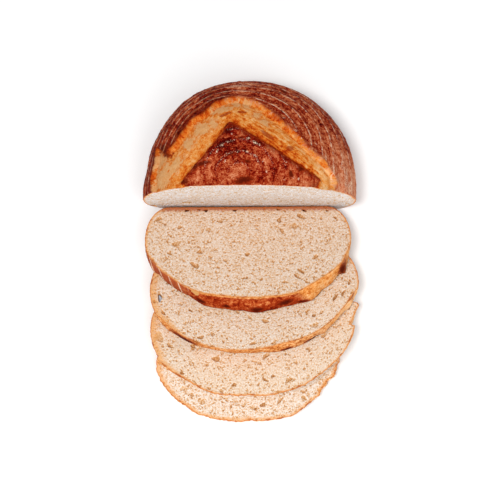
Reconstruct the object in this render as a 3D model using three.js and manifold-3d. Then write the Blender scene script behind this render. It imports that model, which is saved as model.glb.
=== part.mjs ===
// A round sourdough loaf, scored with a square and cut across near its middle. The rear part
// stands on its flat base. The four slices cut from its front lie before it in their order, each
// with its foot on the table and its crown resting on the next. Millimetres, +Z up, and the row
// of slices runs towards -Y.
import * as THREE from "three";
import { mergeVertices } from "three/addons/utils/BufferGeometryUtils.js";
import loadManifold from "manifold-3d";

const manifold = await loadManifold();
manifold.setup();

// The whole round before it was cut. Its axis is at X 0, Y 0. Reach and width are those of its
// widest ring. A power of 2 gives an ellipse, and a higher one a fuller, squarer curve.
const loaf = {
  halfWidth: 103.5,
  backReach: 106,
  frontReach: 116,
  backPower: 2.1,
  frontPower: 2.4,
  height: 104,
  ringHeight: 36.5,
  leftPower: 2.2, // roundness of the dome's left and right shoulders
  rightPower: 1.9,
  shoulders: 70, // distance from the axis at which those powers hold
  baseShare: 0.78, // flat underside as a share of the ring
  fallStart: -45, // towards the front end the ring and the crown above it are lower
  fallRun: 17,
  ringFall: 0.24,
  crownFall: 0.04,
};

// The scored top: a square cap that swelled up along its edge, the band of lighter crust that
// tore open behind its two rear sides, and the lip of the old crust beyond the band.
const score = {
  corner: [-19, 51], // rear corner of the cap
  turn: -37.5, // degrees from +X to the cap's right rear side
  rightSide: 98,
  leftSide: 76,
  capRise: 1,
  frontLift: 3.5, // the cap stands higher towards its front corner
  liftFrom: 0.5, // where the lift starts and ends, as a share of the way to that corner
  liftTo: 0.78,
  rimRise: 3.5,
  rimReach: 20,
  rightBand: 24.5,
  leftBand: 19,
  leftBandGain: 11, // the left band widens towards the left corner
  openCorner: 20, // and gapes from this share of the way there
  gapeFrom: 0.75,
  bandDepth: 4.5,
  stepRun: 4,
  bandPuff: 1.6,
  lipRise: 1.8,
  lipRun: 3,
  lipReach: 14,
  tearEnd: -24, // the torn band levels out towards the front
  tearRun: 20,
  fadeShare: 0.15, // all relief dies out in this outer share of the plan
  endFrom: -40, // and over this stretch towards the front end
  endRun: 22,
};

// Cuts across the loaf at constant Y, from the cut face of the rear part forwards.
const firstCut = -13;

// Each slice: thickness, width across its rear cut face, the place on the table of the lower
// edge of its foot, the tilt of its foot and of its crown in degrees, its turn about the
// vertical, and its shift to the right.
const slices = [
  { thickness: 19, width: 200, foot: -22.8, footTilt: 26.4, crownTilt: 24, turn: 0.4, shift: -2 },
  { thickness: 17, width: 202, foot: -66.5, footTilt: 22.5, crownTilt: 20.8, turn: 3.5, shift: 2.5 },
  { thickness: 13, width: 198, foot: -103, footTilt: 23.8, crownTilt: 9.8, turn: 3.5, shift: 1 },
  { thickness: 12.7, width: 178, foot: -139.2, footTilt: 0, crownTilt: 0, turn: 1.5, shift: -2.5 },
];

// Fineness of the faceted skin.
const mesh = {
  turns: 96,
  domeRows: 32,
  cornerRows: 4,
  sliceDome: 44,
  sliceCorner: 5,
  sliceBase: 8,
  sliceRings: 3, // rings on each cut face, from its outline inwards
};

const radians = THREE.MathUtils.degToRad;
const smooth = (x) => THREE.MathUtils.smoothstep(x, 0, 1);
const { clamp, lerp } = THREE.MathUtils;

// How far a plan point is from the axis, as a share of the ring's reach in that direction.
const plan = (y) =>
  y > 0
    ? { reach: loaf.backReach, power: loaf.backPower }
    : { reach: loaf.frontReach, power: loaf.frontPower };

function share(x, y) {
  const { reach, power } = plan(y);
  return ((Math.abs(x) / loaf.halfWidth) ** power + (Math.abs(y) / reach) ** power) ** (1 / power);
}

// Half of the loaf's width at Y, where the section reaches the given share.
function halfWidthAt(y, atShare = 1) {
  const { reach, power } = plan(y);
  const left = atShare ** power - (Math.abs(y) / reach) ** power;
  return loaf.halfWidth * Math.max(left, 0) ** (1 / power);
}

// Heights of the widest ring and of the crown above it, both lower at the front end.
const frontEnd = (y) => smooth((loaf.fallStart - y) / loaf.fallRun);
const ringHeightAt = (y) => loaf.ringHeight * (1 - loaf.ringFall * frontEnd(y));
const crownAt = (y) => (loaf.height - loaf.ringHeight) * (1 - loaf.crownFall * frontEnd(y));

function domeHeight(x, y) {
  const power = lerp(loaf.leftPower, loaf.rightPower, smooth(0.5 + x / (2 * loaf.shoulders)));
  return ringHeightAt(y) + crownAt(y) * Math.max(1 - share(x, y) ** power, 0) ** (1 / power);
}

// Outward direction of the plain dome, for the relief.
function outward(x, y) {
  const up = (domeHeight(x, y) - ringHeightAt(y)) / crownAt(y) ** 2;
  return new THREE.Vector3(x / loaf.halfWidth ** 2, y / plan(y).reach ** 2, up).normalize();
}

// Relief of the scored top, outwards from the plain dome. Here right and left count from the
// cap's rear corner along its right and left rear sides.
const capTurn = radians(score.turn);
const capAxes = [
  [Math.cos(capTurn), Math.sin(capTurn)],
  [Math.sin(capTurn), -Math.cos(capTurn)],
];

function swell(right, left) {
  const beyond = Math.max(-right, -left, right - score.rightSide, left - score.leftSide);
  const along = 0.5 * (right / score.rightSide + left / score.leftSide);
  const lift = smooth((along - score.liftFrom) / (score.liftTo - score.liftFrom));
  const cap = (score.capRise + score.frontLift * lift) * Math.exp(-Math.max(beyond, 0) / score.rimReach);
  return cap + score.rimRise * Math.exp(-Math.abs(beyond) / score.rimReach);
}

function tear(right, left) {
  const [overRight, overLeft] = [Math.max(-left, 0), Math.max(-right, 0)];
  const distance = Math.hypot(overRight, overLeft);
  if (distance === 0) return 0;
  const way = left / score.leftSide;
  const gape = score.openCorner * smooth((way - score.gapeFrom) / (1 - score.gapeFrom));
  const leftBand = score.leftBand + score.leftBandGain * clamp(way, 0, 1) + gape;
  const width = lerp(score.rightBand, leftBand, overLeft / (overLeft + overRight));
  const across = clamp((distance - score.stepRun) / (width - score.stepRun), 0, 1);
  const puff = score.bandPuff * Math.sin(Math.PI * across);
  const band = puff - score.bandDepth * smooth(distance / score.stepRun);
  const lip = score.lipRise * Math.exp(-Math.max(distance - width, 0) / score.lipReach);
  return lerp(band, lip, smooth((distance - width + score.lipRun) / score.lipRun));
}

function relief(x, y) {
  const [right, left] = capAxes.map(
    ([ux, uy]) => (x - score.corner[0]) * ux + (y - score.corner[1]) * uy,
  );
  const torn = smooth((y - score.tearEnd) / score.tearRun);
  const fade = smooth((1 - share(x, y)) / score.fadeShare);
  const end = smooth((score.endFrom - y) / score.endRun);
  return fade * (1 - end) * (swell(right, left) + torn * tear(right, left));
}

// A closed mesh from loops of equal length, with a single point closing each end.
function wrap(first, loops, last) {
  const count = loops[0].length;
  const points = [first, ...loops.flat(), last];
  const at = (row, i) => 1 + row * count + (i % count);
  const faces = [];
  for (let i = 0; i < count; i++) {
    faces.push(0, at(0, i + 1), at(0, i));
    for (let row = 0; row + 1 < loops.length; row++) {
      faces.push(at(row, i), at(row, i + 1), at(row + 1, i));
      faces.push(at(row, i + 1), at(row + 1, i + 1), at(row + 1, i));
    }
    faces.push(points.length - 1, at(loops.length - 1, i), at(loops.length - 1, i + 1));
  }
  const geometry = new THREE.BufferGeometry();
  geometry.setAttribute("position", new THREE.Float32BufferAttribute(points.flatMap((p) => p.toArray()), 3));
  geometry.setIndex(faces);
  return geometry;
}

function wholeLoaf() {
  const turns = Array.from({ length: mesh.turns }, (_, i) => (2 * Math.PI * i) / mesh.turns);
  const loop = (rho, place) =>
    turns.map((turn) => {
      const [cx, cy] = [Math.cos(turn), Math.sin(turn)];
      const reach = rho / share(cx, cy);
      return place(cx * reach, cy * reach);
    });
  const loops = [];
  for (let row = 0; row <= mesh.cornerRows; row++) {
    const angle = (0.5 * Math.PI * row) / mesh.cornerRows;
    const rho = loaf.baseShare + (1 - loaf.baseShare) * Math.sin(angle);
    const rise = 1 - Math.cos(angle);
    loops.push(loop(rho, (x, y) => new THREE.Vector3(x, y, ringHeightAt(y) * rise)));
  }
  const domePoint = (x, y) =>
    new THREE.Vector3(x, y, domeHeight(x, y)).addScaledVector(outward(x, y), relief(x, y));
  for (let row = 1; row < mesh.domeRows; row++) {
    loops.push(loop(Math.cos((0.5 * Math.PI * row) / mesh.domeRows), domePoint));
  }
  return wrap(new THREE.Vector3(0, 0, 0), loops, domePoint(0, 0));
}

// The outline of the loaf at Y, as X and height: over the dome from left to right, round the
// right corner, along the flat base and up the left corner.
function outline(y) {
  const steps = (count, f) => Array.from({ length: count }, (_, i) => f(i / count));
  const corner = (t) => {
    const angle = 0.5 * Math.PI * t;
    const rho = loaf.baseShare + (1 - loaf.baseShare) * Math.cos(angle);
    return [halfWidthAt(y, rho), ringHeightAt(y) * (1 - Math.sin(angle))];
  };
  const dome = steps(mesh.sliceDome, (t) => {
    const x = -halfWidthAt(y) * Math.cos(Math.PI * t);
    const out = outward(x, y).multiplyScalar(relief(x, y));
    return [x + out.x, domeHeight(x, y) + out.z];
  });
  const right = steps(mesh.sliceCorner, corner);
  const [foot] = corner(1);
  const base = steps(mesh.sliceBase, (t) => [foot * (1 - 2 * t), 0]);
  const left = steps(mesh.sliceCorner, (t) => corner(1 - t)).map(([x, z]) => [-x, z]);
  return [...dome, ...right, ...base, ...left];
}

// Lays a point of a slice on the table: x across, v up the slice from its foot, n up through
// its thickness. The tilt changes evenly from foot to crown, so the slice bends on an arc.
function lay(slice, length, x, v, n) {
  const start = radians(slice.footTilt);
  const bend = (radians(slice.crownTilt) - start) / length;
  const tilt = start + bend * v;
  const straight = slice.footTilt === slice.crownTilt;
  const forward = straight ? v * Math.cos(tilt) : (Math.sin(tilt) - Math.sin(start)) / bend;
  const rise = straight ? v * Math.sin(tilt) : (Math.cos(start) - Math.cos(tilt)) / bend;
  return new THREE.Vector3(x, n * Math.sin(tilt) - forward, rise + n * Math.cos(tilt));
}

function sliceGeometry(slice, back) {
  const front = back - slice.thickness;
  const length = domeHeight(0, back);
  const inset = Array.from({ length: mesh.sliceRings }, (_, i) => 1 - i / mesh.sliceRings);
  const middle = (y) => 0.5 * domeHeight(0, y);
  const girth = slice.width / (2 * halfWidthAt(back));
  const point = (y, x, z) => lay(slice, length, x, z, y - front);
  const loop = (y, scale) =>
    outline(y).map(([x, z]) => point(y, x * girth * scale, middle(y) + (z - middle(y)) * scale));
  const loops = [
    ...inset.toReversed().map((scale) => loop(front, scale)),
    loop(front + 0.5 * slice.thickness, 1),
    ...inset.map((scale) => loop(back, scale)),
  ];
  return wrap(point(front, 0, middle(front)), loops, point(back, 0, middle(back)));
}

function rearPart() {
  const geometry = mergeVertices(wholeLoaf());
  const solid = (g) =>
    new manifold.Manifold(
      new manifold.Mesh({
        numProp: 3,
        vertProperties: new Float32Array(g.attributes.position.array),
        triVerts: new Uint32Array(g.index.array),
      }),
    );
  const size = 3 * loaf.frontReach; // a block larger than the loaf, with its face in the cut
  const block = new THREE.BoxGeometry(size, size, size).translate(0, firstCut + 0.5 * size, 0);
  block.deleteAttribute("normal");
  block.deleteAttribute("uv");
  const cut = solid(geometry).intersect(solid(mergeVertices(block))).getMesh();
  const kept = new THREE.BufferGeometry();
  kept.setAttribute("position", new THREE.BufferAttribute(cut.vertProperties, 3));
  kept.setIndex(new THREE.BufferAttribute(cut.triVerts, 1));
  return kept;
}

const crust = new THREE.MeshStandardMaterial({ color: 0x9a5226, roughness: 0.6, metalness: 0 });
const crumb = new THREE.MeshStandardMaterial({ color: 0xe0c4a2, roughness: 0.9, metalness: 0 });

const bread = new THREE.Group();

const rear = new THREE.Mesh(rearPart(), crust);
rear.name = "half_loaf";
bread.add(rear);

let back = firstCut;
slices.forEach((slice, i) => {
  const piece = new THREE.Mesh(sliceGeometry(slice, back), crumb);
  piece.name = `slice_${i + 1}`;
  piece.position.set(slice.shift, slice.foot, 0);
  piece.rotation.z = radians(slice.turn);
  bread.add(piece);
  back -= slice.thickness;
});

// The part's origin is on the table, under the middle of the whole row.
const everyPoint = true;
const box = new THREE.Box3().setFromObject(bread, everyPoint);
bread.position.set(-0.5 * (box.min.x + box.max.x), -0.5 * (box.min.y + box.max.y), -box.min.z);

export default bread;
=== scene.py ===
# A round sourdough loaf cut across its middle. The rear half stands cut face forwards, and the
# four slices from its front lie before it, each resting on the next.
import itertools
import math
from types import SimpleNamespace
import bpy
import numpy as np
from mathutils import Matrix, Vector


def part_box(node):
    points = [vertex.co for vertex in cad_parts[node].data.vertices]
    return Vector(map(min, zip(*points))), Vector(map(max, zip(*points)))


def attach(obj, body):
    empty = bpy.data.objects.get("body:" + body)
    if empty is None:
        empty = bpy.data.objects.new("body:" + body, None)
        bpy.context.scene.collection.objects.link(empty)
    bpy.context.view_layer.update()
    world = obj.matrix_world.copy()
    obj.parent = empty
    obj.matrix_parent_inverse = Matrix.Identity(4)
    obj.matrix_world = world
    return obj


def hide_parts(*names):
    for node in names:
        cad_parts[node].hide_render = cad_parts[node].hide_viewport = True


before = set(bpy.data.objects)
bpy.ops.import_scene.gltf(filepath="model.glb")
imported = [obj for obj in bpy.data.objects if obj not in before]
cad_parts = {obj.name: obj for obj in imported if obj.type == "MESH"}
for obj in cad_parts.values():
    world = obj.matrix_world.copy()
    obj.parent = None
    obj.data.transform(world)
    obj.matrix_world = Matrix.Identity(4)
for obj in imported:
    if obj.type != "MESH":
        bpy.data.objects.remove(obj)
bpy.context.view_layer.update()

mm = 0.001  # sizes below are millimetres in the loaf's own frame: its axis at X 0, Y 0, table at Z 0
tiny = 1e-9  # keeps a divisor off zero


def smooth(x):
    x = np.clip(x, 0, 1)
    return x * x * (3 - 2 * x)


def between(x, start, end):  # 0 before start, 1 after end
    return smooth((x - start) / (end - start))


def lerp(a, b, t):
    return a + (b - a) * t


def columns(*parts):
    return np.stack(parts, axis=-1)


def unit(ways):
    return ways / np.linalg.norm(ways, axis=-1, keepdims=True)


def lumps(points, size, seed):  # smooth random hills, from -1 to 1
    cells = 64
    grid = np.random.default_rng(seed).uniform(-1, 1, (cells, cells, cells))
    spot = points / size
    low = np.floor(spot).astype(int)
    part = smooth(spot - low)
    total = np.zeros(len(points))
    for corner in itertools.product((0, 1), repeat=3):
        weight = np.prod(np.where(corner, part, 1 - part), axis=1)
        i, j, k = ((low + corner) % cells).T
        total += weight * grid[i, j, k]
    return total


def layers(place, kinds):  # hills of each height, size and seed on top of each other
    return sum(height * lumps(place, size, seed) for height, size, seed in kinds)


def turned(x, y, angle):  # along a direction and across it
    return x * math.cos(angle) + y * math.sin(angle), y * math.cos(angle) - x * math.sin(angle)


def inOval(dx, dy, long, short, lean):  # offsets from an oval's middle, as shares of its half sizes
    along, across = turned(dx, dy, lean)
    return along / long, across / short


def ovalDepth(ovals, x, y):  # 1 at the middle of the nearest oval, 0 on its outline, less outside
    depth = np.full(len(x), -1.0)
    for middleX, middleY, long, short, lean in ovals:
        a, b = inOval(x - middleX, y - middleY, long, short, math.radians(lean))
        depth = np.maximum(depth, 1 - np.hypot(a, b))
    return depth


# the round before it was cut
loaf = {
    "halfWidth": 103.5, "backReach": 106, "frontReach": 116, "backPower": 2.1, "frontPower": 2.4,
    "height": 104,
    "ringHeight": 36.5,  # height of the widest ring
    "leftPower": 2.2, "rightPower": 1.9, "shoulders": 70, "baseShare": 0.78,
    "fall": (45, 62),  # in front, the ring and the crown come down between these
    "ringFall": 0.24, "crownFall": 0.04, "firstCut": -13,
}
lowest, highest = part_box("half_loaf")
loafOrigin = np.array([0.5 * (lowest.x + highest.x), lowest.y - loaf["firstCut"] * mm, 0])


def plan(y):
    reach = np.where(y > 0, loaf["backReach"], loaf["frontReach"])
    power = np.where(y > 0, loaf["backPower"], loaf["frontPower"])
    return reach, power


def share(x, y):
    reach, power = plan(y)
    return ((abs(x) / loaf["halfWidth"]) ** power + (abs(y) / reach) ** power) ** (1 / power)


def halfWidthAt(y, atShare=1.0):
    reach, power = plan(y)
    return loaf["halfWidth"] * np.maximum(atShare**power - (abs(y) / reach) ** power, 0) ** (1 / power)


def frontEnd(y):
    return between(-y, *loaf["fall"])


def ringHeightAt(y):
    return loaf["ringHeight"] * (1 - loaf["ringFall"] * frontEnd(y))


def crownAt(y):
    return (loaf["height"] - loaf["ringHeight"]) * (1 - loaf["crownFall"] * frontEnd(y))


def domeHeight(x, y):
    power = lerp(loaf["leftPower"], loaf["rightPower"], smooth(0.5 + x / (2 * loaf["shoulders"])))
    return ringHeightAt(y) + crownAt(y) * np.maximum(1 - share(x, y) ** power, 0) ** (1 / power)


def outward(x, y):
    reach, _ = plan(y)
    up = (domeHeight(x, y) - ringHeightAt(y)) / crownAt(y) ** 2
    return unit(columns(x / loaf["halfWidth"] ** 2, y / reach**2, up))


# the square score on top: a cap, the torn band of young crust round it and the lip beyond
score = {
    "corner": (-19.4, 45.6), "turn": -37.5, "rightSide": 96.5, "leftSide": 70,
    # how far the cap's sides bend outwards, at distances along them
    "rightBend": (
        (-3, 1, 5, 10, 20, 30, 40, 50, 60, 70, 80, 90),
        (0.5, 1, 1.4, 1.4, 1.4, 3.2, 3.6, 5, 5.6, 5.9, 6.8, 9),
    ),
    "leftBend": (
        (-2, 9, 14, 22, 27, 37, 42, 50, 56, 65),
        (-0.5, -1.2, -1.9, -1.9, -1.2, -1.7, -2, -0.6, 0, 0),
    ),
    "capRise": 1, "frontLift": 3.5, "lift": (0.5, 0.78), "rimRise": 3.5, "rimReach": 20,
    "ridge": 3,  # rounds the crest along the cap's edge
    # the band's width at distances along the cap's sides, where the left one gapes at its end
    "rightBand": (
        (-25, -2, 10, 23, 38, 50, 63, 73, 85, 97),
        (31.5, 32.5, 34.2, 32.5, 29.4, 27.5, 24.2, 22, 20, 17),
    ),
    "leftBand": (
        (-17, -4, 1, 8, 14, 20, 28, 41, 57, 59, 71, 84),
        (25, 25.8, 27.4, 30.5, 32.6, 34.4, 33, 34.2, 34, 50, 40, 35),
    ),
    "gapeSlant": 0.25, "gapeMiddle": 29, "frontRightBand": 13.5, "frontLeftBand": 24,
    "bandDepth": 4.5, "stepRun": 4, "bandPuff": 1.6, "lipRise": 1.8, "lipRun": 3, "lipReach": 14,
    "torn": (-24, -4),  # the tear opens between these along Y
    "end": (40, 62),  # in front, all relief ends between these
    "fadeShare": 0.15,
}


def capSides(x, y):  # distances from the cap's rear corner along its right and left rear sides
    cornerX, cornerY = score["corner"]
    right, back = turned(x - cornerX, y - cornerY, math.radians(score["turn"]))
    return right + np.interp(-back, *score["leftBend"]), np.interp(right, *score["rightBend"]) - back


def capEdge(right, left):  # how far outside the cap, negative on it
    return np.maximum.reduce([-right, -left, right - score["rightSide"], left - score["leftSide"]])


def swell(right, left):
    beyond = capEdge(right, left)
    along = 0.5 * (right / score["rightSide"] + left / score["leftSide"])
    cap = score["capRise"] + score["frontLift"] * between(along, *score["lift"])
    near = np.exp(-np.maximum(beyond, 0) / score["rimReach"])
    crest = np.hypot(beyond, score["ridge"]) - score["ridge"]
    return cap * near + score["rimRise"] * np.exp(-crest / score["rimReach"])


def bandWidth(right, left, acrossRight, acrossLeft):
    slanted = left + score["gapeSlant"] * (acrossLeft - score["gapeMiddle"])
    overRight = np.where(left < 0, np.interp(right, *score["rightBand"]), score["frontLeftBand"])
    overLeft = np.where(right < 0, np.interp(slanted, *score["leftBand"]), score["frontRightBand"])
    return lerp(overRight, overLeft, acrossLeft / np.maximum(acrossLeft + acrossRight, tiny))


def bandPlace(right, left):  # distance out from the cap, and from there to the band's outer lip
    acrossLeft = np.maximum.reduce([-right, right - score["rightSide"], 0 * right])
    acrossRight = np.maximum.reduce([-left, left - score["leftSide"], 0 * left])
    distance = np.hypot(acrossRight, acrossLeft)
    return distance, distance - bandWidth(right, left, acrossRight, acrossLeft)


def tear(right, left):
    distance, lipEdge = bandPlace(right, left)
    width = distance - lipEdge
    across = np.clip((distance - score["stepRun"]) / (width - score["stepRun"]), 0, 1)
    puff = score["bandPuff"] * np.sin(math.pi * across)
    band = puff - score["bandDepth"] * smooth(distance / score["stepRun"])
    lip = score["lipRise"] * np.exp(-np.maximum(lipEdge, 0) / score["lipReach"])
    return np.where(distance > 0, lerp(band, lip, between(lipEdge, -score["lipRun"], 0)), 0)


def relief(x, y, scale=1.0):
    right, left = capSides(x, y)
    torn = between(y, *score["torn"])
    fade = smooth((1 - share(x, y)) / score["fadeShare"]) * (1 - between(-y, *score["end"]))
    return scale * fade * (swell(right, left) + torn * tear(right, left))


# coiled marks that the proofing basket left in flour, drawn wider by the opening score
basket = {
    "innerMiddle": (-10, -2), "innerRadius": 21, "innerSpacing": 10.8,
    "along": 6,  # how fast the coil's streaks change along a line and across it
    "across": 5, "arcSteps": 400,
    # one line's distance from the crown along the surface, and the spacing there, by direction
    "turns": (-90, -8, 0, 10, 19, 25, 33, 50, 60, 72, 95, 115, 165, 270),
    "line": (81, 81, 80.5, 82.5, 85.5, 88, 92.5, 98, 102, 105, 104.5, 107.5, 108.5, 108.5),
    "spacing": (15.5, 15.5, 15, 14, 13, 12.5, 12.2, 11.6, 11.4, 11, 9, 8, 8, 8), "groove": 0.3,
    "grooveStart": 3,  # how far from the score's edges the grooves are at their full depth
}


def ringPhase(x, y, z):  # a whole number on each line
    steps = np.linspace(0, 1, basket["arcSteps"])
    rise = (1 - steps**2) ** 0.5 * (loaf["height"] - loaf["ringHeight"])
    pieces = np.hypot(np.diff(steps) * loaf["halfWidth"], np.diff(rise))
    arc = np.concatenate([[0], np.cumsum(pieces)])
    along = np.interp(share(x, y), steps, arc) + np.maximum(ringHeightAt(y) - z, 0)
    turn = np.degrees(np.arctan2(y, x))
    turn = np.where(turn < -90, turn + 360, turn)
    line = np.interp(turn, basket["turns"], basket["line"])
    spacing = np.interp(turn, basket["turns"], basket["spacing"])
    innerX, innerY = basket["innerMiddle"]
    inner = np.hypot(x - innerX, y - innerY) - basket["innerRadius"]
    onCap = capEdge(*capSides(x, y)) < 0
    return np.where(onCap, inner / basket["innerSpacing"], (along - line) / spacing)


def coil(x, y, ring):  # a pattern in it runs along the coiled marks
    onCap = capEdge(*capSides(x, y)) < 0
    innerX, innerY = basket["innerMiddle"]
    turn = np.arctan2(y - onCap * innerY, x - onCap * innerX)
    return columns(basket["along"] * np.cos(turn), basket["along"] * np.sin(turn), basket["across"] * ring)


# ovals on the crust by their middle across and back, half length, half width and lean in degrees
marks = {
    "tan": [  # pale matte islands in the band, and a notch on the first slice
        (-52, -15, 4.5, 5, 0), (-26.6, 63.2, 10, 5, 20), (-13.6, 69.6, 5, 4, 0), (-3.3, 69, 5, 4.2, 0),
        (-23.6, 77, 6, 3.5, 10), (-46.5, 44, 9, 7, 55), (-33.9, 47.8, 4.5, 4.5, 0),
        (-57.5, 30.2, 8, 5.5, 50), (-71, 10, 12, 6, 60), (-82, -1, 14, 9, 75), (-88, 18, 10, 6, 75),
        (13.9, 49.9, 5.5, 3.5, -30), (6.5, 57.8, 5, 4, 0),
    ],
    "red": [
        (36.9, 23.5, 4, 3, 0), (-7.5, 60.4, 5, 1.6, 0), (-23.3, 57.5, 7, 1.6, 20),
        (16, 36, 9, 2.5, -38),
    ],
    "dark": [
        (-8.3, 30.8, 3.6, 1.5, 0), (-17.9, 15.9, 5.5, 1.4, 15), (-43.2, 7.5, 9, 2.5, 10),
        (-6, -8.5, 9, 4, 10), (-21.7, 43.2, 4, 2.2, 45), (-48.9, 5.5, 5, 3, 45), (45.1, 2.9, 3.5, 3, 0),
        (36.7, -2, 4, 2.5, 90), (-2, 9, 3, 2, 0), (-59, -8, 3.5, 3, 0), (-83, 28, 10, 5, -52),
        (-22, 84, 5, 2, 20), (33, 88, 4, 1.5, -30), (8, -28, 8, 4.5, 0), (36, -24, 9, 5, 15),
        (52, -29, 8, 2.2, -10), (93.5, -24, 10, 4, 90), (-47, -26, 6, 4, 0), (-22, -27, 5, 3, 0),
        (-70, -41, 11, 9, 0), (51, -45, 7, 4, 0), (27, -46, 6, 3, 0), (52, -57, 5, 6, 0),
        (33, -57, 3.5, 6, 0), (-43, -58, 5, 4, 0), (-62, -70, 5, 4, 0), (60, -70, 5, 4, 0),
    ],
    "flour": [
        (-16.3, 35.2, 1.7, 1.2, 0), (-20.2, 27.5, 1.7, 1.1, 30), (-25, 24, 1.9, 1.3, 45),
        (-29.5, 18.5, 3, 1.3, 60), (-21.4, 16.1, 1.3, 1.1, 0), (-22.7, 9.2, 2.6, 1.3, 60),
        (-11.5, 17.8, 1.5, 1, 0), (-2, 17.6, 2.2, 1, -10), (4.8, 13.8, 3.4, 1.2, -35),
        (7, 8.6, 1.4, 1.1, 0), (11.7, 8.7, 1.3, 1.1, 0), (-1.8, 30, 2.4, 1.4, -15),
        (4, 26.3, 3.6, 1.5, -30), (8.5, 23.9, 1.9, 1.2, -40), (15, -0.5, 2.2, 1.3, -70),
        (39.3, -5.2, 2, 1.2, 0), (30.8, -7.6, 1.4, 1.1, 0), (32.5, 8.5, 1.3, 1, 0),
        (43.6, -6, 2, 1.1, 90), (41.4, 40.8, 2.4, 1.2, -30), (60.9, 30.2, 2, 1.1, -60),
        (59.5, 23, 1.6, 1.1, 0), (69, 17.5, 5.5, 1.1, 88), (31.4, 53.8, 2.2, 1.1, 0),
        (46.8, 33.6, 1.4, 1.1, 0), (89.5, 3, 15, 1.9, 88), (93, -7, 8, 3.2, 88), (76, 5, 14, 1.2, 89),
        (95.5, -4, 9, 2.4, 88), (85.5, 14, 7, 1, 86), (-9.5, 92, 15, 2.2, 5),
    ],
}

crustSkin = {
    "across": 290, "lowRows": 56, "highRows": 204,
    "lowShare": 0.4,  # share of the lattice that the rows under the widest ring take
    "reach": (103, 119, 52), "centreHeight": 50, "farthest": 200.0, "halvings": 30,
    "tuck": 1.6,  # how much more the left flank rounds in towards the base
    # the rear left flank lies this much further in, fading between these leftwards and along Y
    "slim": 2.2, "slimLeft": (50, 90), "slimStart": (-5, 20), "slimEnd": (85, 100),
    "domeStart": 6,  # height over which the relief sets in above the widest ring
    "skinStart": 4,  # and the roughness above the table
    # height, size and seed of each layer
    "rough": [(0.55, 17, 41), (0.3, 3.4, 42), (0.16, 1.7, 43)],
    "strayX": [(0.6, 9, 31), (0.5, 2.6, 33)],
    "strayY": [(0.6, 9, 32), (0.5, 2.6, 34)],
    "uv": ((0.98, 0.6), (0.01, 0.01)),  # size and corner of its patch
}

cutFaceSkin = {
    "coarser": 2,  # its lattice is this much coarser than the crust's
    "inset": 0.992, "holeSeed": 10, "headroom": 4,
    "rimRun": 2,  # holes reach their full depth this far from the rim
    "rough": [(0.1, 1.6, 44)],
    "uv": ((0.6, 0.35), (0.01, 0.64)),
}


def wander(place):  # the score's edges stray from their lines
    return layers(place, crustSkin["strayX"]), layers(place, crustSkin["strayY"])


def crustFields(place):  # what the crust's colours follow, for points on the loaf
    x, y, z = place.T
    strayX, strayY = wander(place)
    right, left = capSides(x + strayX, y + strayY)
    distance, lipEdge = bandPlace(right, left)
    fields = {name: ovalDepth(ovals, x, y) for name, ovals in marks.items()}
    ring = ringPhase(x, y, z)
    fields.update({
        "capEdge": capEdge(right, left),
        "lipEdge": lipEdge,
        "ring": ring,
        "coil": coil(x, y, ring),
        "strand": columns(right - left, distance, 0 * distance),
    })
    return fields


def breadFields(place, number, fromCut, **cut):  # the cut ones are given part by part
    fields = crustFields(place)
    fields.update({"place": place, "slice": np.full(len(place), float(number)), "fromCut": fromCut})
    fields.update({name: np.concatenate(parts) for name, parts in cut.items()})
    return fields


sliceSkin = {
    "across": 384, "up": 192, "sideRows": 10,
    "coarser": 4,  # the underside's lattice is this much coarser
    "reach": (100, 52), "outlineSteps": (500, 62, 125), "inset": 0.985,
    "relief": 0.4,  # share of the score's relief that shows at a slice's edge
    "fadeOver": 0.06,  # radians over which a torn edge runs out into the plain section
    "plainShare": 0.5,  # share of a torn upper edge that is gone at the foot of the side
    "puff": 0.8, "puffStart": 10,
    "grit": [(0.3, 2.2, 45)],
    "fray": [(1, 2.3, 46)],
    "frayPower": 12,  # how sharply the fray grows towards the rim
    "frayRadius": 100, "headroom": 6,
    "grain": (0.14, 1.4, 40),  # height, size and what it adds to the slice's seed
    "rimRun": 1.5,  # holes reach their full depth this far from the rim
    "underRimRun": 3,
    # size and corner of each face's patch, and those of the side's strips one above another
    "uv": ((0.98, 0.52), (0.01, 0.01)),
    "underUv": ((0.36, 0.18), (0.62, 0.8)),
    "sideUv": ((0.58, 0.1), (0.01, 0.56)),
    "strips": 3, "stripPitch": 0.11,
}

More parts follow.
